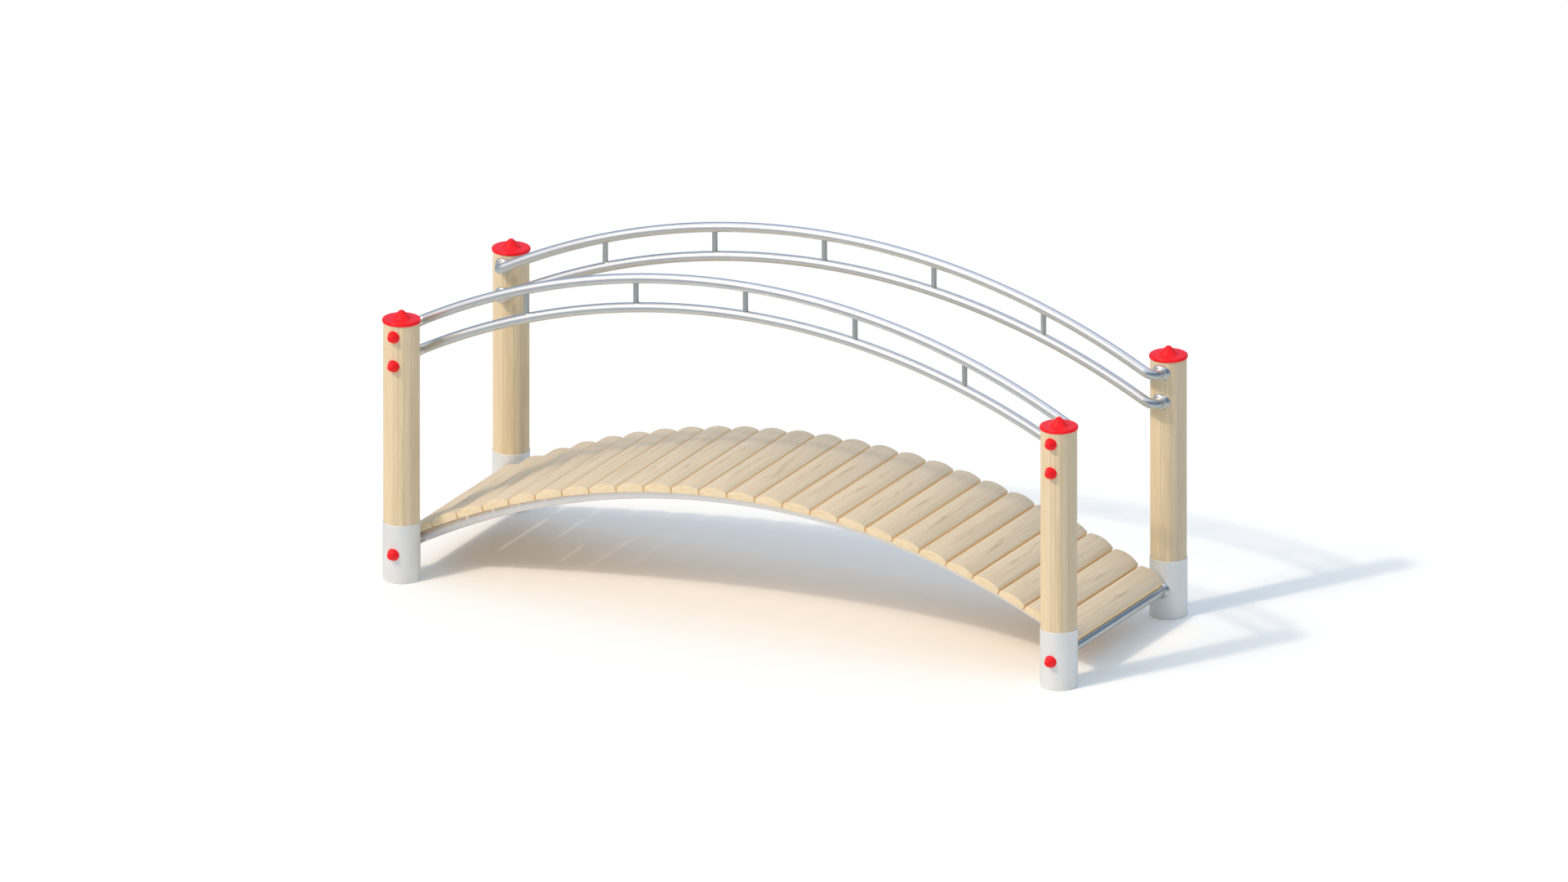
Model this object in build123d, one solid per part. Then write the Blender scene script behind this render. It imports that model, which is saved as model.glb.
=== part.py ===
from build123d import *
import math
import os

# An arched footbridge of a playground: four round timber posts in steel foot sleeves carry a deck of
# crowned planks on two curved stringers, and two curved tubular rails on each side.
# Millimetres. X runs along the bridge, Y across it and Z up. The origin is on the ground, at the
# centre. The front side is at -Y and the left end at -X.

# Posts and their steel foot sleeves
post_spacing_x = 2400.0        # between post axes, along the bridge
post_spacing_y = 800.0         # between post axes, across the bridge
post_diameter = 120.0
post_end_above_bolt = 42.0     # from the upper rail's bolt to the post's end
sleeve_wall = 2.0
sleeve_height = 200.0
foot_plate_thickness = 6.0
sleeve_edge_chamfer = 0.8

# Bolt heights above the ground
upper_bolt_height = 850.0
rail_spacing = 100.0           # from the lower rail's bolt up to the upper rail's bolt
cross_tube_height = 100.0

# Round tubes
rail_tube_diameter = 33.7
cross_tube_diameter = 38.0
stringer_tube_diameter = 42.4
tube_wall = 2.6
arch_radius = 2500.0           # centreline of the stringers and of the rails
bend_radius = 38.0             # centreline, where a rail turns out to its post
bend_straight = 6.0            # from the bend to the flange
strut_diameter = 18.0
strut_pitch = 400.0
strut_to_post_least = 200.0    # no strut stands nearer than this to a post's axis

# Wall flanges that hold the tubes to the posts
flange_base_radius = 33.0
flange_base_depth = 10.0       # from the post's nearest line back to where the flange is widest
flange_face_radius = 24.0
flange_stand = 8.0             # flange face, from the post's nearest line
flange_edge_radius = 6.0

# Plastic caps over the bolt heads
bolt_cap_base_radius = 21.0
bolt_cap_neck_radius = 15.4
bolt_cap_neck_height = 11.5
bolt_cap_groove = 1.0
bolt_cap_dome_radius = 14.3

# Plastic caps on the post ends
cap_radius = 63.8
cap_rim_height = 12.0
cap_skirt_depth = 5.0
cap_rim_radius = 6.0
cap_cone_radius = 33.0
cap_cone_top_radius = 6.5
cap_cone_height = 27.0
cap_cone_foot_radius = 9.0
cap_cone_tip_radius = 7.5

# Deck planks
plank_width = 96.6
plank_least_gap = 4.0
plank_side_height = 18.5
plank_crown_height = 30.5
plank_shoulder_radius = 8.0
plank_end_to_sleeve = 12.8     # from a plank's end to the nearest line of the sleeves
stringer_from_plank_end = 75.0

seat_gap = 0.2                 # left where one round face seats on another

# Worked out from the sizes above
post_x = post_spacing_x / 2
post_y = post_spacing_y / 2
post_radius = post_diameter / 2
post_top = upper_bolt_height + post_end_above_bolt
sleeve_radius = post_radius + seat_gap + sleeve_wall
rail_radius = rail_tube_diameter / 2
cross_tube_radius = cross_tube_diameter / 2
stringer_radius = stringer_tube_diameter / 2
rail_y = post_y - post_radius - flange_stand - bend_straight - bend_radius
plank_length = 2 * (post_y - sleeve_radius - plank_end_to_sleeve)
stringer_y = plank_length / 2 - stringer_from_plank_end
deck_half_angle = math.asin(post_x / arch_radius)
deck_centre_z = cross_tube_height - arch_radius * math.cos(deck_half_angle)
plank_seat_radius = arch_radius + stringer_radius + seat_gap

SIDES = {"front": -1, "back": 1}
ENDS = {"left": -1, "right": 1}


def save(node, shape):
    """Writes one named piece, which may be several solids that stand apart."""
    export_step(shape, f"parts/{node}.step")


def at_post(shape, end, side):
    """Moves a shape from the origin to the post of that end and side."""
    return Pos(end * post_x, side * post_y, 0) * shape


def post():
    """The round timber, which stands on the sleeve's foot plate."""
    length = post_top - foot_plate_thickness
    return Pos(0, 0, foot_plate_thickness) * Cylinder(
        post_radius, length, align=(Align.CENTER, Align.CENTER, Align.MIN))


def foot_sleeve():
    """The steel tube round the post's foot, closed by the plate that the bridge stands on."""
    upright = (Align.CENTER, Align.CENTER, Align.MIN)
    body = Cylinder(sleeve_radius, sleeve_height, align=upright)
    body -= Pos(0, 0, foot_plate_thickness) * Cylinder(
        post_radius + seat_gap, sleeve_height, align=upright)
    outer_edges = body.edges().filter_by(GeomType.CIRCLE).filter_by(
        lambda edge: abs(edge.radius - sleeve_radius) < seat_gap / 2)
    return chamfer(outer_edges, sleeve_edge_chamfer)


def post_cap():
    """A lid with a short skirt over the post's end, a round rim and a cone with a round tip."""
    under = post_top - cap_skirt_depth
    shoulder = under + cap_rim_height
    tip = shoulder + cap_cone_height
    skirt_inside = post_radius + seat_gap
    with BuildPart() as cap:
        with BuildSketch(Plane.XZ):
            with BuildLine():
                Polyline(
                    (0, post_top),
                    (skirt_inside, post_top),
                    (skirt_inside, under),
                    (cap_radius, under),
                    (cap_radius, shoulder),
                    (cap_cone_radius, shoulder),
                    (cap_cone_top_radius, tip),
                    (0, tip),
                    close=True)
            make_face()
        revolve(axis=Axis.Z)
        circles = cap.edges().filter_by(GeomType.CIRCLE)
        outer = [edge for edge in circles if abs(edge.radius - cap_radius) < seat_gap]
        foot = [edge for edge in circles if abs(edge.radius - cap_cone_radius) < seat_gap]
        tip_edge = [edge for edge in circles if abs(edge.center().Z - tip) < seat_gap]
        fillet(foot, cap_cone_foot_radius)
        fillet(tip_edge, cap_cone_tip_radius * 0.8)
        low_rim = [edge for edge in outer if abs(edge.center().Z - under) < seat_gap]
        high_rim = [edge for edge in outer if abs(edge.center().Z - shoulder) < seat_gap]
        fillet(high_rim, cap_rim_radius)
        fillet(low_rim, cap_rim_radius / 2)
    return cap.part


def turned_on_post(profile, side, height, carrier_radius):
    """Turns a profile about a bolt's axis and copes its foot to the round post or sleeve.

    The profile is drawn with X as the radius and Y as the distance from the post's axis. Side says
    which way along Y the piece stands out of the post.
    """
    turned = revolve(profile, axis=Axis.Y)
    if side < 0:
        turned = turned.mirror(Plane.XZ)
    coped = turned - Cylinder(carrier_radius + seat_gap, 4 * flange_base_radius)
    return Pos(0, 0, height) * coped


def bolt_cap(side, height, carrier_radius):
    """The round cap over a bolt's head, with a conical foot and a domed top."""
    foot = carrier_radius / 2
    neck = carrier_radius + bolt_cap_neck_height
    dome_foot = neck + bolt_cap_groove
    with BuildSketch() as profile:
        with BuildLine():
            outline = Polyline(
                (0, foot),
                (bolt_cap_base_radius, foot),
                (bolt_cap_base_radius, carrier_radius),
                (bolt_cap_neck_radius, neck),
                (bolt_cap_dome_radius, dome_foot))
            dome = CenterArc((0, dome_foot), bolt_cap_dome_radius, 0, 90)
            Line(dome @ 1, outline @ 0)
        make_face()
    return turned_on_post(profile.sketch, side, height, carrier_radius)


def tube_flange(side, height, carrier_radius):
    """The round flange that a tube's end is welded to, coped to the post."""
    foot = carrier_radius / 2
    face = carrier_radius + flange_stand
    with BuildSketch() as profile:
        with BuildLine():
            Polyline(
                (0, foot),
                (flange_base_radius, foot),
                (flange_base_radius, carrier_radius - flange_base_depth),
                (flange_face_radius, face),
                (0, face),
                close=True)
        make_face()
        edge = profile.vertices().sort_by_distance((flange_face_radius, face))[0]
        fillet(edge, flange_edge_radius)
    return turned_on_post(profile.sketch, side, height, carrier_radius)


def arc_height(centre_z, x):
    """Height of an arch's centreline at a place along the bridge."""
    return centre_z + math.sqrt(arch_radius ** 2 - x ** 2)


def rail_arc(bolt_height):
    """Half angle and centre height of a rail whose bent ends come to the bolt's axis."""
    reach = math.hypot(arch_radius, bend_radius)
    half_angle = math.asin(post_x / reach) - math.atan2(bend_radius, arch_radius)
    centre_z = (bolt_height - arch_radius * math.cos(half_angle)
                + bend_radius * math.sin(half_angle))
    return half_angle, centre_z


def tube_section(origin, along, radius):
    """Ring-shaped section of a round tube that runs along a direction through a point."""
    return Plane(origin=origin, z_dir=along) * (Circle(radius) - Circle(radius - tube_wall))


def handrail_half(side, end, bolt_height):
    """Half a rail: an arc from the crown whose end turns outward, square to the bridge."""
    half_angle, centre_z = rail_arc(bolt_height)
    y = side * rail_y
    outward = Vector(0, side, 0)
    along = Vector(end * math.cos(half_angle), 0, -math.sin(half_angle))
    crown = Vector(0, y, centre_z + arch_radius)
    arc_end = Vector(end * arch_radius * math.sin(half_angle), y,
                     centre_z + arch_radius * math.cos(half_angle))
    bend_centre = arc_end + outward * bend_radius
    bend_end = bend_centre + along * bend_radius
    arch_axis = Axis((0, y, centre_z), (0, end, 0))
    bend_axis = Axis(bend_centre, along.cross(outward))
    arc = revolve(tube_section(crown, Vector(end, 0, 0), rail_radius), arch_axis,
                  math.degrees(half_angle))
    bend = revolve(tube_section(arc_end, along, rail_radius), bend_axis, 90)
    straight = extrude(tube_section(bend_end, outward, rail_radius), bend_straight)
    return (arc + bend + straight).solid()


def arch_ring(y, centre_z, radius):
    """A full ring on an arch's centreline, for coping what meets the tube."""
    return Pos(0, y, centre_z) * Rot(90, 0, 0) * Torus(arch_radius, radius)


def rail_struts(side):
    """The upright rods between the two rails of one side, coped to both tubes."""
    y = side * rail_y
    _, upper_centre_z = rail_arc(upper_bolt_height)
    _, lower_centre_z = rail_arc(upper_bolt_height - rail_spacing)
    count_each_way = int((post_x - strut_to_post_least) // strut_pitch)
    struts = []
    for step in range(-count_each_way, count_each_way + 1):
        x = step * strut_pitch
        low = arc_height(lower_centre_z, x)
        high = arc_height(upper_centre_z, x)
        rod = Pos(x, y, low) * Cylinder(
            strut_diameter / 2, high - low, align=(Align.CENTER, Align.CENTER, Align.MIN))
        for centre_z in (upper_centre_z, lower_centre_z):
            rod -= arch_ring(y, centre_z, rail_radius + seat_gap)
        struts.append(rod.solid())
    return Compound(children=struts)


def cross_tube(end):
    """The tube between the two flanges of one end, which carries both stringers."""
    length = 2 * (post_y - sleeve_radius - flange_stand)
    tube = Cylinder(cross_tube_radius, length)
    tube -= Cylinder(cross_tube_radius - tube_wall, length)
    return Pos(end * post_x, 0, cross_tube_height) * Rot(90, 0, 0) * tube


def deck_stringer(side):
    """The curved tube under the planks, coped at both ends to the cross tubes."""
    y = side * stringer_y
    overrun = stringer_tube_diameter / arch_radius
    reach = deck_half_angle + overrun
    start = Vector(-arch_radius * math.sin(reach), y,
                   deck_centre_z + arch_radius * math.cos(reach))
    along = Vector(math.cos(reach), 0, math.sin(reach))
    stringer = revolve(tube_section(start, along, stringer_radius),
                       Axis((0, y, deck_centre_z), (0, 1, 0)), math.degrees(2 * reach))
    stringer &= Pos(0, y, 0) * Box(post_spacing_x, stringer_tube_diameter * 2, arch_radius)
    for end in (-1, 1):
        stringer -= Pos(end * post_x, y, cross_tube_height) * Rot(90, 0, 0) * Cylinder(
            cross_tube_radius + seat_gap, stringer_tube_diameter * 2)
    return stringer.solids().sort_by(SortBy.VOLUME)[-1]


def plank():
    """One crowned plank, lying flat at the origin with its length along Y."""
    half = plank_width / 2
    with BuildPart() as board:
        with BuildSketch(Plane.XZ) as section:
            with BuildLine():
                Polyline(
                    (-half, plank_side_height),
                    (-half, 0),
                    (half, 0),
                    (half, plank_side_height))
                ThreePointArc(
                    (half, plank_side_height),
                    (0, plank_crown_height),
                    (-half, plank_side_height))
            make_face()
            shoulders = section.vertices().group_by(Axis.Y)[-1]
            fillet(shoulders, plank_shoulder_radius)
        extrude(amount=plank_length / 2, both=True)
    return board.part.solid()


def deck_planks():
    """All planks from the left end to the right one, each lying flat on the arch."""
    arc_length = 2 * deck_half_angle * plank_seat_radius
    count = int((arc_length + plank_least_gap) // (plank_width + plank_least_gap))
    pitch_angle = (arc_length - plank_width) / (count - 1) / plank_seat_radius
    board = plank()
    planks = []
    for index in range(count):
        angle = (index - (count - 1) / 2) * pitch_angle
        place = Pos(0, 0, deck_centre_z) * Rot(0, math.degrees(angle), 0)
        planks.append(place * Pos(0, 0, plank_seat_radius) * board)
    return planks


def make_posts():
    for side_name, side in SIDES.items():
        for end_name, end in ENDS.items():
            corner = f"{side_name}_{end_name}"
            save(f"post_{corner}", at_post(post(), end, side))
            save(f"foot_sleeve_{corner}", at_post(foot_sleeve(), end, side))
            save(f"post_cap_{corner}", at_post(post_cap(), end, side))


def make_bolt_caps_and_flanges():
    lower_bolt_height = upper_bolt_height - rail_spacing
    seats = [(upper_bolt_height, post_radius), (lower_bolt_height, post_radius),
             (cross_tube_height, sleeve_radius)]
    for side_name, side in SIDES.items():
        for end_name, end in ENDS.items():
            corner = f"{side_name}_{end_name}"
            caps = [bolt_cap(side, *seat).solid() for seat in seats]
            flanges = [tube_flange(-side, *seat).solid() for seat in seats]
            save(f"bolt_caps_{corner}", at_post(Compound(children=caps), end, side))
            save(f"tube_flanges_{corner}", at_post(Compound(children=flanges), end, side))


def make_rails():
    bolt_heights = {"upper": upper_bolt_height, "lower": upper_bolt_height - rail_spacing}
    for side_name, side in SIDES.items():
        for rail_name, bolt_height in bolt_heights.items():
            for end_name, end in ENDS.items():
                save(f"handrail_{rail_name}_{side_name}_{end_name}",
                     handrail_half(side, end, bolt_height))
        save(f"rail_struts_{side_name}", rail_struts(side))


def make_deck():
    for side_name, side in SIDES.items():
        save(f"deck_stringer_{side_name}", deck_stringer(side))
    for end_name, end in ENDS.items():
        save(f"cross_tube_{end_name}", cross_tube(end))
    stretches = ["left_end", "left", "crown", "right", "right_end"]
    planks = deck_planks()
    for number, stretch in enumerate(stretches):
        first = round(number * len(planks) / len(stretches))
        last = round((number + 1) * len(planks) / len(stretches))
        save(f"planks_{stretch}", Compound(children=planks[first:last]))


os.makedirs("parts", exist_ok=True)
make_posts()
make_bolt_caps_and_flanges()
make_rails()
make_deck()
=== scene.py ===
import math

import bpy
from mathutils import Matrix, Vector


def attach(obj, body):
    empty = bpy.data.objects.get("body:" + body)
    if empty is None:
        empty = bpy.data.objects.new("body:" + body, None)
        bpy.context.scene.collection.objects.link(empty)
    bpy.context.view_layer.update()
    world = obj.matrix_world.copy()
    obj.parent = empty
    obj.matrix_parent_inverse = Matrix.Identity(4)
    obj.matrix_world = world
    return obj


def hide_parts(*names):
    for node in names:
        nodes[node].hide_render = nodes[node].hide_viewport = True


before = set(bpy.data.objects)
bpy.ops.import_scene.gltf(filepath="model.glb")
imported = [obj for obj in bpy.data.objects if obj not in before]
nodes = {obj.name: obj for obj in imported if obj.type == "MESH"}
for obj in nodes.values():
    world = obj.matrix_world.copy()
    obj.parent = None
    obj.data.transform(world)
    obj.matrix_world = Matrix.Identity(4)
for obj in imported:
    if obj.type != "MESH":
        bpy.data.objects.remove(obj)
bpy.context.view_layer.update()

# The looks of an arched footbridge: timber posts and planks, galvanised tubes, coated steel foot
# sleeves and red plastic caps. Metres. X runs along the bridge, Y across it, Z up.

# Sizes that the planks and the timber's patterns share with the frame
POST_X, POST_Y = 1.2, 0.4
ARCH_RADIUS = 2.5
CROSS_TUBE_HEIGHT = 0.1
STRINGER_RADIUS = 0.0212
SEAT_GAP = 0.0002
PLANK_WIDTH, PLANK_LENGTH = 0.0966, 0.65
PLANK_SIDE, PLANK_CROWN = 0.0185, 0.0305
SHOULDER_RADIUS = 0.008
PLANK_COUNT = 25

DECK_HALF_ANGLE = math.asin(POST_X / ARCH_RADIUS)
ARCH_CENTRE = CROSS_TUBE_HEIGHT - ARCH_RADIUS * math.cos(DECK_HALF_ANGLE)
SEAT_RADIUS = ARCH_RADIUS + STRINGER_RADIUS + SEAT_GAP
PITCH_ANGLE = (2 * DECK_HALF_ANGLE - PLANK_WIDTH / SEAT_RADIUS) / (PLANK_COUNT - 1)

# Sizes that are only set here: the posts' laminations, the planks' eased edges, and how far the
# grain moves along from one plank to the next
LAMINATION = 0.0172
EASED_EDGE = 0.0010
GRAIN_SHIFT = 2.0

# How a plank's mesh is made: steps in half its crown and in a shoulder, and its shading
CROWN_STEPS, SHOULDER_STEPS = 6, 5
SMOOTH_BELOW = math.radians(40)
TINY = 1e-5

# The studio: the sun's direction, colour and two lamps (name, strength, width in degrees)
SUN = Vector((-0.3481, -0.6155, 0.7071)).normalized()
SUN_COLOUR = (1.0, 0.82, 0.64)
SUN_LAMPS = (("sun", 0.98, 3.2), ("sun haze", 0.93, 20.0))
FLOOR_RADIUS = 40
WHITE = (1.0, 1.0, 1.0, 1.0)

# The camera: where it stands about the bridge in degrees, how far off, and what it takes in
CAMERA_AZIMUTH, CAMERA_ELEVATION = 26.58, 18.98
CAMERA_DISTANCE, CAMERA_SEES_TO = 12, 100
VIEW_WIDTH = 5.12
VIEW_RIGHT, VIEW_UP = -0.0032, 0.5064


# Shader maths

class Value:
    """A number that a shader works out; operators on it add Math nodes."""

    def __init__(self, finish, socket):
        self.finish = finish
        self.socket = socket

    def maths(self, operation, *values):
        return self.finish.node("Math", {"operation": operation}, dict(enumerate(values)))

    def __add__(self, other):
        return self.maths("ADD", self, other)

    def __sub__(self, other):
        return self.maths("SUBTRACT", self, other)

    def __rsub__(self, other):
        return self.maths("SUBTRACT", other, self)

    def __mul__(self, other):
        return self.maths("MULTIPLY", self, other)

    def __truediv__(self, other):
        return self.maths("DIVIDE", self, other)

    def __rtruediv__(self, other):
        return self.maths("DIVIDE", other, self)

    def __pow__(self, other):
        return self.maths("POWER", self, other)

    def __abs__(self):
        return self.maths("ABSOLUTE", self)

    __radd__ = __add__
    __rmul__ = __mul__

    def sign(self):
        return self.maths("SIGN", self)

    def floor(self):
        return self.maths("FLOOR", self)

    def fraction(self):
        return self.maths("FRACT", self)

    def step(self, low, high, start=0.0, end=1.0):
        """Start below low, end above high, with an eased rise between."""
        return self.finish.node("MapRange", {"interpolation_type": "SMOOTHSTEP"}, {
            "Value": self, "From Min": low, "From Max": high, "To Min": start, "To Max": end})


class Finish:
    """One material, and the nodes that make it."""

    def __init__(self, name, owner=None):
        if owner is None:
            owner = bpy.data.materials.new(name)
        self.owner = owner
        owner.use_nodes = True
        self.tree = owner.node_tree
        self.tree.nodes.clear()

    def node(self, kind, settings=None, inputs=None, output=0):
        """Adds a node, sets its settings and then its inputs, and returns one of its outputs."""
        made = self.tree.nodes.new("ShaderNode" + kind)
        for setting, value in (settings or {}).items():
            setattr(made, setting, value)
        for place, value in (inputs or {}).items():
            if isinstance(value, Value):
                self.tree.links.new(value.socket, made.inputs[place])
            else:
                made.inputs[place].default_value = value
        return Value(self, made.outputs[output]) if made.outputs else None

    def place(self):
        """Where a point is on the object, in metres."""
        return self.node("TexCoord", output="Object")

    def attribute(self, name):
        return self.node("Attribute", {"attribute_name": name}, output="Vector")

    def parts(self, vector):
        split = self.node("SeparateXYZ", inputs={0: vector}).socket.node
        return [Value(self, socket) for socket in split.outputs]

    def vector(self, x, y, z):
        return self.node("CombineXYZ", inputs={0: x, 1: y, 2: z})

    def noise(self, where, scale, detail=2.0, roughness=0.5, distortion=0.0):
        return self.node("TexNoise", inputs={
            "Vector": where, "Scale": scale, "Detail": detail, "Roughness": roughness,
            "Distortion": distortion})

    def grain(self, x, y, z, detail=2.0, roughness=0.5, distortion=0.0):
        """Noise whose three directions are drawn out each in their own way."""
        return self.noise(self.vector(x, y, z), 1.0, detail, roughness, distortion)

    def chance(self, number):
        """A value from 0 to 1 that belongs to this number."""
        return self.node("TexWhiteNoise", {"noise_dimensions": "1D"}, {"W": number})

    def ray_kinds(self):
        """Two masks: rays straight from the camera, and rays that a glossy surface mirrors."""
        rays = self.node("LightPath").socket.node
        return [Value(self, rays.outputs[name]) for name in ("Is Camera Ray", "Is Glossy Ray")]

    def mix(self, factor, first, second):
        """Mixes two colours."""
        return self.node("Mix", {"data_type": "RGBA"}, {0: factor, 6: first, 7: second}, output=2)

    def bump(self, height, distance, strength=1.0):
        return self.node("Bump", inputs={
            "Strength": strength, "Distance": distance, "Height": height})

    def surface(self, **inputs):
        """Ends the material in a Principled surface; an input's name has _ for its spaces."""
        shader = self.node("BsdfPrincipled", inputs={
            words.replace("_", " "): value for words, value in inputs.items()})
        self.node("OutputMaterial", inputs={"Surface": shader})
        return self.owner


def shade(red, green, blue):
    """A screen colour, 0 to 255, as the light values that a shader takes."""
    parts = [part / 255 for part in (red, green, blue)]
    return (*[c / 12.92 if c <= 0.04045 else ((c + 0.055) / 1.055) ** 2.4 for c in parts], 1.0)


# Finishes

def post_timber():
    """Round posts turned from upright laminations, with fine grain and thin glue lines."""
    finish = Finish("laminated post timber")
    x, y, z = finish.parts(finish.place())
    own_x = x - x.sign() * POST_X
    own_y = y - y.sign() * POST_Y
    across = own_x / LAMINATION + 0.02
    board = across.floor()

    # every second glue line is faint, and so are those on a post's left half
    line_distance = 0.5 - abs(across.fraction() - 0.5)
    glue_line = line_distance.step(0.02, 0.055, 1.0, 0.0)
    odd_line = ((across + 0.5).floor() * 0.5).fraction() * 2
    glue = glue_line * (1 - odd_line * 0.6) * own_x.step(-0.012, -0.004, 0.3, 1.0)

    flame = finish.grain(own_x * 26, own_y * 26 + board * 3.1, z * 2.6, 3.0, 0.55, 0.6)
    streaks = finish.grain(own_x * 170, own_y * 170 + board * 7.3, z * 3.0, 3.0, 0.6)
    fibres = finish.grain(own_x * 900, own_y * 900, z * 14, 2.0, 0.7)
    specks = finish.grain(own_x * 700, own_y * 700, z * 160, 2.0, 0.8)
    rings = (finish.grain(own_x * 30, own_y * 30 + board * 5.0, z * 1.1, 1.0) * 9).fraction()
    late_wood = (abs(rings - 0.5) * 2).step(0.72, 0.98)
    figure = finish.grain(own_x * 55 + x.sign() * 3, y.sign() * 5, z * 2.4, 2.0, 0.6, 0.8)
    # dark figure in the wood, at a quarter strength on each post's left half and full on its
    # right half: real figure, with painted shade on the half away from the sun
    darker = figure.step(0.48, 0.66) * own_x.step(0.0, 0.03, 0.25, 1.0)
    # painted shade: the posts right of the middle get a greyer, darker colour on their right
    # side, away from the sun
    right_side_painted_shade = own_x.step(0.018, 0.050) * x.step(-0.5, 0.5)
    sheen = finish.noise(finish.vector(own_x, own_y + board * 0.13, z), 3.0, 1.0)

    tone = flame.step(0.30, 0.72) * 0.5 + streaks.step(0.3, 0.7) * 0.5
    colour = finish.mix(tone, shade(240, 223, 190), shade(220, 199, 163))
    colour = finish.mix(darker * 0.28, colour, shade(192, 172, 136))
    colour = finish.mix(right_side_painted_shade * 0.50, colour, shade(196, 184, 160))
    colour = finish.mix(finish.chance(board) * 0.30, colour, shade(212, 199, 176))
    colour = finish.mix(late_wood * 0.10, colour, shade(196, 168, 128))
    colour = finish.mix(fibres.step(0.55, 0.8) * 0.18, colour, shade(186, 168, 138))
    colour = finish.mix(specks.step(0.56, 0.72) * 0.24, colour, shade(176, 158, 128))
    colour = finish.mix(specks.step(0.30, 0.44, 1.0, 0.0) * 0.20, colour, shade(246, 228, 198))
    colour = finish.mix(glue * 0.50, colour, shade(140, 126, 100))
    height = fibres * 0.5 + streaks * 0.5 - glue * 0.8
    return finish.surface(
        Base_Color=colour,
        Roughness=0.52 + streaks * 0.12 + sheen * 0.02,
        Normal=finish.bump(height, 0.0004, 0.5),
        Specular_IOR_Level=0.35)


def plank_timber():
    """Planed planks with grain along them, warm edges, and end grain with its rings."""
    finish = Finish("planed plank timber")
    across, along, up = finish.parts(finish.attribute("grain"))
    number = (along / GRAIN_SHIFT + 0.5).floor()
    own_along = along - number * GRAIN_SHIFT
    seed, other_seed = finish.chance(number), finish.chance(number + 0.37)

    # growth rings about a pith line that lies under the plank, a little askew
    pith_x = across - (seed - 0.5) * 0.10 - own_along * (other_seed - 0.5) * 0.05
    pith_z = up + 0.05 + other_seed * 0.05
    waver = finish.grain(across * 18, along * 1.8, up * 18)
    distance = (pith_x * pith_x + pith_z * pith_z) ** 0.5 + (waver - 0.5) * 0.012
    ring = (distance / 0.0048).fraction()
    late_wood = ring.step(0.55, 0.95) * ring.step(0.955, 1.0, 1.0, 0.0)

    # a dark wisp wanders along the middle of each plank
    wander = (finish.grain(number * 0.4, own_along * 5.0, 0.0, 1.0) - 0.5) * 0.06
    from_middle = abs(across - 0.004 + wander)
    wisp_grain = finish.grain(
        across * 130, own_along * 9.0 + seed * 2, number * 0.3, 3.0, 0.65, 0.5)
    wisp = from_middle.step(0.002, 0.013, 1.0, 0.0) * wisp_grain.step(0.42, 0.62)
    wisp = wisp * abs(own_along + 0.03).step(0.06, 0.24, 1.0, 0.12)

    streaks = finish.grain(across * 240, along * 2.4, up * 60, 3.0, 0.6)
    fibres = finish.grain(across * 800, along * 9.0, up * 300, 2.0, 0.7)
    clouds = finish.grain(across * 16, along * 2.2, number)
    colour = finish.mix(streaks.step(0.25, 0.75), shade(236, 220, 195), shade(222, 203, 174))
    colour = finish.mix(clouds.step(0.45, 0.75) * 0.30, colour, shade(209, 194, 168))
    colour = finish.mix(late_wood * 0.18, colour, shade(202, 178, 142))
    colour = finish.mix(wisp * 0.55, colour, shade(172, 152, 122))
    colour = finish.mix(fibres.step(0.54, 0.78) * 0.36, colour, shade(192, 186, 174))
    colour = finish.mix((seed - 0.5).step(0.0, 0.5) * 0.15, colour, shade(240, 217, 182))

    # the ends, then the sides and the underside, which are warmer than the top
    end, side = PLANK_LENGTH / 2, PLANK_WIDTH / 2
    on_end = abs(own_along).step(end - 0.0010, end - 0.0004)
    pores = finish.grain(across * 420, number, up * 110, 2.0, 0.6)
    patches = finish.grain(across * 32, number * 3.7, up * 150, 2.0, 0.6)
    end_colour = finish.mix(late_wood * 0.20 + pores.step(0.4, 0.8) * 0.30,
                            shade(240, 224, 192), shade(217, 193, 153))
    end_colour = finish.mix(patches.step(0.46, 0.68) * 0.45, end_colour, shade(222, 190, 146))
    colour = finish.mix(on_end, colour, end_colour)
    on_side = abs(across).step(side - 0.0016, side - 0.0004) * (1 - on_end)
    colour = finish.mix(on_side, colour, shade(246, 217, 168))
    underneath = up.step(0.0004, 0.0010, 1.0, 0.0)
    colour = finish.mix(underneath, colour, shade(226, 194, 146))

    height = fibres * 0.5 + streaks * 0.4 - late_wood * 0.2
    return finish.surface(
        Base_Color=colour,
        Roughness=0.55 + streaks * 0.12,
        Normal=finish.bump(height, 0.0004, 0.5),
        Specular_IOR_Level=0.35)


def coated_steel():
    """Light grey powder coat with a fine orange peel."""
    finish = Finish("grey coated steel")
    place = finish.place()
    peel = finish.noise(place, 420.0, 2.0, 0.5)
    cloud = finish.noise(place, 9.0, 2.0, 0.5)
    z = finish.parts(place)[2]
    foot_dust = z.step(0.0, 0.05, 1.0, 0.0) * cloud.step(0.35, 0.75)
    colour = finish.mix(cloud.step(0.3, 0.7), shade(234, 237, 239), shade(229, 232, 234))
    colour = finish.mix(foot_dust * 0.25, colour, shade(190, 186, 176))
    return finish.surface(
        Base_Color=colour,
        Roughness=0.42 + peel * 0.10 + foot_dust * 0.15,
        Metallic=0.3,
        Normal=finish.bump(peel, 0.0002, 0.25))


def galvanised_tube(name, tint, roughness, metal=1.0):
    """Smooth galvanised tube with a faint spangle and fine drawing marks."""
    finish = Finish(name)
    place = finish.place()
    cloud = finish.noise(place, 14.0, 3.0, 0.6)
    spangle = finish.node("TexVoronoi", inputs={"Vector": place, "Scale": 130.0}, output="Color")
    grain = finish.parts(spangle)[0]
    marks = finish.noise(place, 700.0, 2.0, 0.6)
    colour = finish.mix(cloud.step(0.3, 0.7) * 0.7 + grain * 0.3, shade(*tint),
                        shade(*[part - 8 for part in tint]))
    return finish.surface(
        Base_Color=colour,
        Metallic=metal,
        Roughness=roughness + cloud * 0.04 + grain * 0.01,
        Normal=finish.bump(marks, 0.0001, 0.1))


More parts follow.
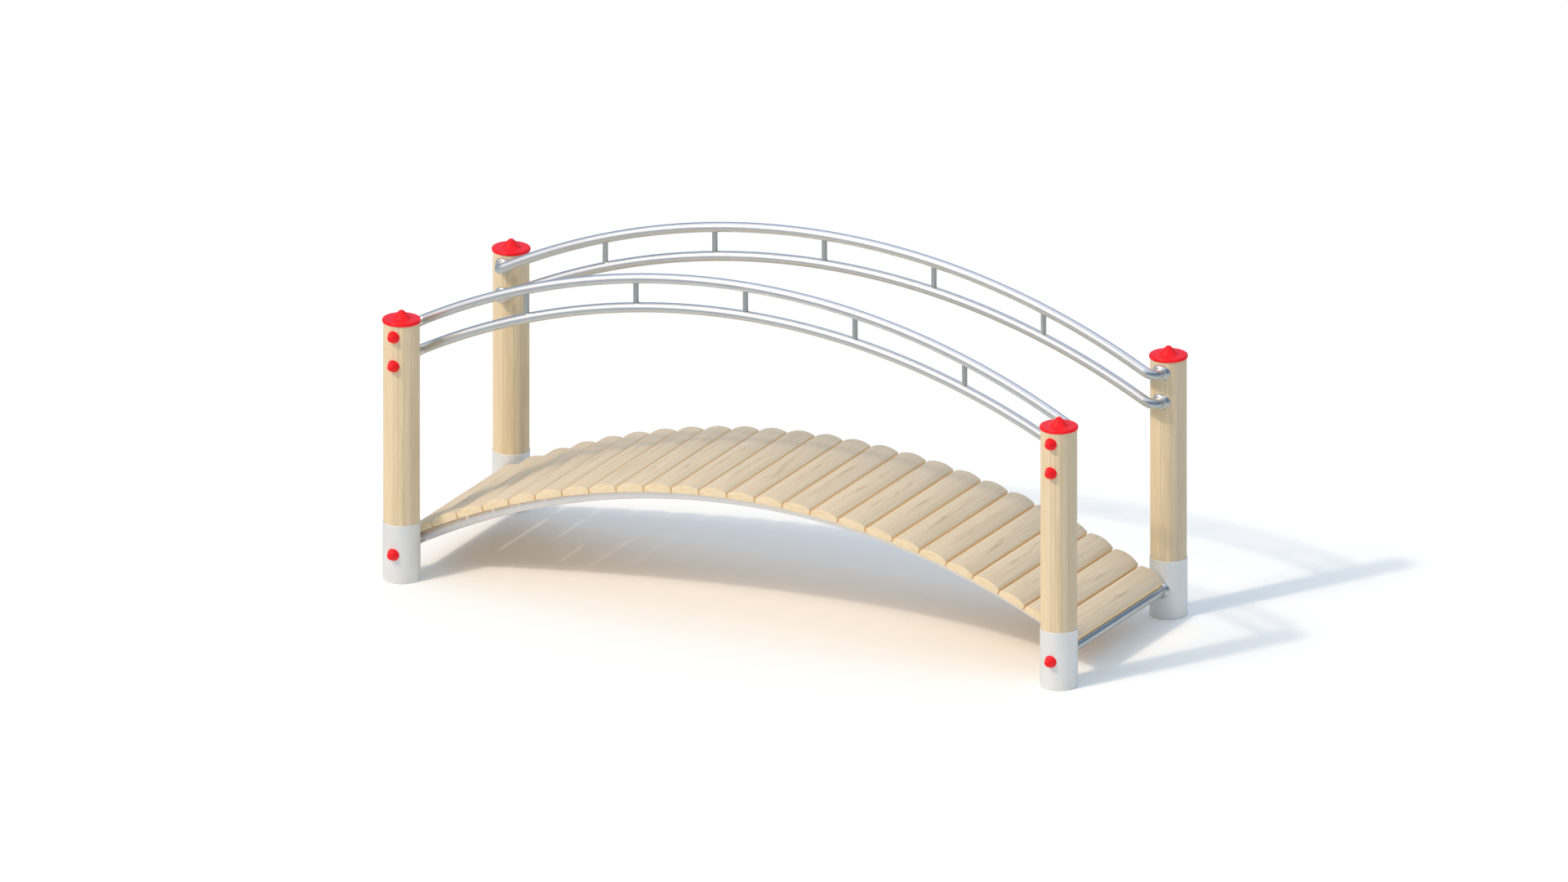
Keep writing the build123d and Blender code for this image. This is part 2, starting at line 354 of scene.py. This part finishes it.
def red_plastic():
    """Semi-gloss moulded plastic with a fine moulded texture and slight scuffs."""
    finish = Finish("red moulded plastic")
    place = finish.place()
    moulded = finish.noise(place, 900.0, 2.0, 0.5)
    cloud = finish.noise(place, 22.0, 2.0, 0.5)
    scuffs = finish.noise(place, 160.0, 3.0, 0.7).step(0.62, 0.78)
    colour = finish.mix(cloud.step(0.3, 0.7), shade(255, 25, 35), shade(250, 21, 31))
    colour = finish.mix(scuffs * 0.08, colour, shade(250, 90, 98))
    return finish.surface(
        Base_Color=colour,
        Roughness=0.30 + moulded * 0.08 + scuffs * 0.10,
        Normal=finish.bump(moulded, 0.0001, 0.25),
        Specular_IOR_Level=0.25)


# Modelling

def clear_selection():
    if bpy.context.object and bpy.context.object.mode != "OBJECT":
        bpy.ops.object.mode_set(mode="OBJECT")
    bpy.ops.object.select_all(action="DESELECT")


def choose(piece, kind, test):
    """Selects, in edit mode, the vertices or edges whose corners pass the test."""
    bpy.ops.object.mode_set(mode="EDIT")
    bpy.ops.mesh.select_mode(type=kind)
    bpy.ops.mesh.select_all(action="DESELECT")
    bpy.ops.object.mode_set(mode="OBJECT")
    vertices = piece.data.vertices
    if kind == "VERT":
        for vertex in vertices:
            vertex.select = test(vertex.co)
    else:
        for edge in piece.data.edges:
            edge.select = test(*[vertices[i].co for i in edge.vertices])
    bpy.ops.object.mode_set(mode="EDIT")


def plank_outline():
    """The top's outline, as places across the plank and heights above its underside.

    It is a wide arc, and a small one that rounds each shoulder into the side.
    """
    half = PLANK_WIDTH / 2
    rise = PLANK_CROWN - PLANK_SIDE
    crown_radius = (half ** 2 + rise ** 2) / (2 * rise)
    crown_centre = PLANK_CROWN - crown_radius
    inset = half - SHOULDER_RADIUS
    drop = math.sqrt((crown_radius - SHOULDER_RADIUS) ** 2 - inset ** 2)
    turn = math.atan2(inset, drop)
    outline = []
    for i in range(-CROWN_STEPS, CROWN_STEPS + 1):
        angle = turn * i / CROWN_STEPS
        height = crown_centre + crown_radius * math.cos(angle)
        outline.append((crown_radius * math.sin(angle), height))
    for i in range(1, SHOULDER_STEPS + 1):
        angle = turn + (math.pi / 2 - turn) * i / SHOULDER_STEPS
        across = inset + SHOULDER_RADIUS * math.sin(angle)
        height = crown_centre + drop + SHOULDER_RADIUS * math.cos(angle)
        outline += [(-across, height), (across, height)]
    return outline


def model_plank():
    """One crowned plank, flat on the origin with its length along Y and all its edges eased."""
    clear_selection()
    bpy.ops.mesh.primitive_cube_add(size=1, location=(0, 0, PLANK_SIDE / 2))
    plank = bpy.context.object
    bpy.ops.object.mode_set(mode="EDIT")
    bpy.ops.transform.resize(value=(PLANK_WIDTH, PLANK_LENGTH, PLANK_SIDE))
    bpy.ops.object.mode_set(mode="OBJECT")
    bpy.ops.object.transform_apply(location=True)

    # cut the block lengthwise, then set each line of the top at its height
    half, end = PLANK_WIDTH / 2, PLANK_LENGTH / 2
    outline = plank_outline()
    for across, _ in outline:
        if abs(across) < half - TINY:
            bpy.ops.object.mode_set(mode="EDIT")
            bpy.ops.mesh.select_all(action="SELECT")
            bpy.ops.mesh.bisect(plane_co=(across, 0, 0), plane_no=(1, 0, 0))
    for across, height in outline:
        choose(plank, "VERT", lambda p: abs(p.x - across) < TINY and p.z > PLANK_SIDE - TINY)
        bpy.ops.transform.translate(value=(0, 0, height - PLANK_SIDE))

    # one face below and one at each end, and all the edges round them eased together
    choose(plank, "EDGE", lambda a, b: (
        abs(a.x - b.x) < TINY and abs(a.x) < half - TINY and min(a.z, b.z) < TINY))
    bpy.ops.mesh.dissolve_edges(use_verts=True)
    choose(plank, "EDGE", lambda a, b: (
        max(a.z, b.z) < TINY or min(abs(a.y), abs(b.y)) > end - TINY and abs(a.y - b.y) < TINY))
    bpy.ops.mesh.bevel(offset=EASED_EDGE, segments=3, affect="EDGES", clamp_overlap=True)
    bpy.ops.mesh.select_all(action="SELECT")
    bpy.ops.mesh.remove_doubles(threshold=TINY / 10)
    bpy.ops.mesh.normals_make_consistent(inside=False)
    bpy.ops.object.mode_set(mode="OBJECT")
    bpy.ops.object.shade_smooth_by_angle(angle=SMOOTH_BELOW)
    return plank


def lay_planks(finish):
    """Copies the plank round the arch, and joins each stretch of the deck into one piece."""
    pattern = model_plank()
    stretches = ["left_end", "left", "crown", "right", "right_end"]
    for stretch, name in enumerate(stretches):
        first = round(stretch * PLANK_COUNT / len(stretches))
        last = round((stretch + 1) * PLANK_COUNT / len(stretches))
        laid = []
        for number in range(first, last):
            plank = pattern.copy()
            plank.data = pattern.data.copy()
            bpy.context.collection.objects.link(plank)
            write_grain(plank.data, number)
            angle = (number - (PLANK_COUNT - 1) / 2) * PITCH_ANGLE
            plank.data.transform(
                Matrix.Translation((0, 0, ARCH_CENTRE)) @ Matrix.Rotation(angle, 4, "Y")
                @ Matrix.Translation((0, 0, SEAT_RADIUS)))
            laid.append(plank)
        clear_selection()
        for plank in laid:
            plank.select_set(True)
        bpy.context.view_layer.objects.active = laid[0]
        bpy.ops.object.join()
        deck = laid[0]
        deck.name = "deck_planks_" + name
        deck.data.name = deck.name
        deck.data.materials.clear()
        deck.data.materials.append(finish)
        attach(deck, "root")
        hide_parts("planks_" + name)
    bpy.data.objects.remove(pattern)


def write_grain(mesh, number):
    """Stores each point's place in its own plank, moved along by GRAIN_SHIFT for each plank."""
    grain = mesh.attributes.new("grain", "FLOAT_VECTOR", "POINT")
    values = []
    for vertex in mesh.vertices:
        values += [vertex.co.x, vertex.co.y + GRAIN_SHIFT * number, vertex.co.z]
    grain.data.foreach_set("vector", values)


def coat_frame():
    """Gives every node that stays its finish."""
    post = post_timber()
    sleeve = coated_steel()
    tube = galvanised_tube("galvanised tube", (222, 223, 223), 0.31)
    rod = galvanised_tube("galvanised rod", (204, 208, 205), 0.30)
    beam = galvanised_tube("galvanised beam", (246, 248, 252), 0.50, metal=0.6)
    plastic = red_plastic()
    finishes = {
        "post_front": post, "post_back": post, "post_cap": plastic, "bolt_caps": plastic,
        "foot_sleeve": sleeve, "handrail": tube, "cross_tube": tube, "tube_flanges": tube,
        "rail_struts": rod, "deck_stringer": beam}
    for name, node in nodes.items():
        for start, finish in finishes.items():
            if name.startswith(start):
                for slot in node.material_slots:
                    slot.material = finish


# The studio

def build_floor():
    """A plain pale floor, which reads darker far away in what the metal mirrors."""
    clear_selection()
    bpy.ops.mesh.primitive_circle_add(
        vertices=96, radius=FLOOR_RADIUS, fill_type="NGON", location=(0, 0, 0))
    floor = bpy.context.object
    floor.name = "studio_floor"
    finish = Finish("studio floor")
    seen, mirrored = finish.ray_kinds()
    x, y, _ = finish.parts(finish.place())
    reach = (x * x + y * y) ** 0.5
    mirrored_shade = finish.mix(reach.step(0.6, 2.6), shade(238, 240, 238), shade(200, 205, 205))
    mirrored_shade = finish.mix(reach.step(2.5, 8.0), mirrored_shade, shade(140, 156, 176))
    just_over_white = (1.05, 1.065, 1.075, 1.0)
    colour = finish.mix(seen, shade(248, 247, 245), just_over_white)
    colour = finish.mix(mirrored, colour, mirrored_shade)
    floor.data.materials.append(finish.surface(
        Base_Color=colour, Roughness=1.0, Specular_IOR_Level=0.0))


def hang_sun():
    """A soft warm sun from the front left: a narrow lamp, and a wide one about it."""
    for name, strength, width in SUN_LAMPS:
        lamp = bpy.data.lights.new(name, "SUN")
        lamp.energy = strength
        lamp.color = SUN_COLOUR
        lamp.angle = math.radians(width)
        carrier = bpy.data.objects.new(name, lamp)
        bpy.context.collection.objects.link(carrier)
        carrier.rotation_mode = "QUATERNION"
        carrier.rotation_quaternion = (-SUN).to_track_quat("-Z", "Y")


def build_sky():
    """A pale blue sky for light, white where the camera sees it.

    What metal and plastic mirror is bright overhead and about the sun. Low down it is grey at the
    front, blue at the back and dark blue at the right.
    """
    world = bpy.data.worlds.new("sky")
    bpy.context.scene.world = world
    sky = Finish("sky", world)
    seen, mirrored = sky.ray_kinds()
    x, y, z = sky.parts(sky.node("TexCoord", output="Generated"))
    sunward = x * SUN.x + y * SUN.y + z * SUN.z
    low_light = sky.mix(y.step(-0.8, 0.8), (0.42, 0.45, 0.48, 1.0), (0.46, 0.53, 0.62, 1.0))
    high_light = sky.mix(y.step(-0.8, 0.8), (0.52, 0.60, 0.66, 1.0), (0.64, 0.73, 0.84, 1.0))
    light = sky.mix(z.step(0.0, 0.8), low_light, high_light)
    gloss = sky.mix(y.step(-0.2, 0.7), (0.54, 0.56, 0.56, 1.0), (0.22, 0.34, 0.55, 1.0))
    gloss = sky.mix(x.step(0.0, 0.5), gloss, (0.10, 0.18, 0.28, 1.0))
    gloss = sky.mix(z.step(0.45, 0.95), gloss, (0.97, 1.04, 1.18, 1.0))
    gloss = sky.mix(sunward.step(0.45, 0.97), gloss, (1.04, 1.06, 1.14, 1.0))
    colour = sky.mix(mirrored, light, gloss)
    below_horizon = z.step(-0.02, 0.0, 1.0, 0.0)
    colour = sky.mix(below_horizon, colour, (0.35, 0.36, 0.37, 1.0))
    colour = sky.mix(seen, colour, WHITE)
    background = sky.node("Background", inputs={"Color": colour, "Strength": 1.0})
    sky.node("OutputWorld", inputs={"Surface": background})


def place_camera():
    """A flat view from the front right, a little above."""
    data = bpy.data.cameras.new("camera")
    data.type = "ORTHO"
    data.ortho_scale = VIEW_WIDTH
    data.clip_end = CAMERA_SEES_TO
    camera = bpy.data.objects.new("camera", data)
    bpy.context.collection.objects.link(camera)
    turn, tilt = math.radians(CAMERA_AZIMUTH), math.radians(CAMERA_ELEVATION)
    right = Vector((math.cos(turn), math.sin(turn), 0))
    back = Vector((math.sin(turn) * math.cos(tilt), -math.cos(turn) * math.cos(tilt),
                   math.sin(tilt)))
    up = back.cross(right)
    camera.location = back * CAMERA_DISTANCE + right * VIEW_RIGHT + up * VIEW_UP
    camera.rotation_mode = "QUATERNION"
    camera.rotation_quaternion = Matrix((right, up, back)).transposed().to_quaternion()
    bpy.context.scene.camera = camera


lay_planks(plank_timber())
coat_frame()
build_floor()
hang_sun()
build_sky()
place_camera()
bpy.context.scene.view_settings.view_transform = "Standard"
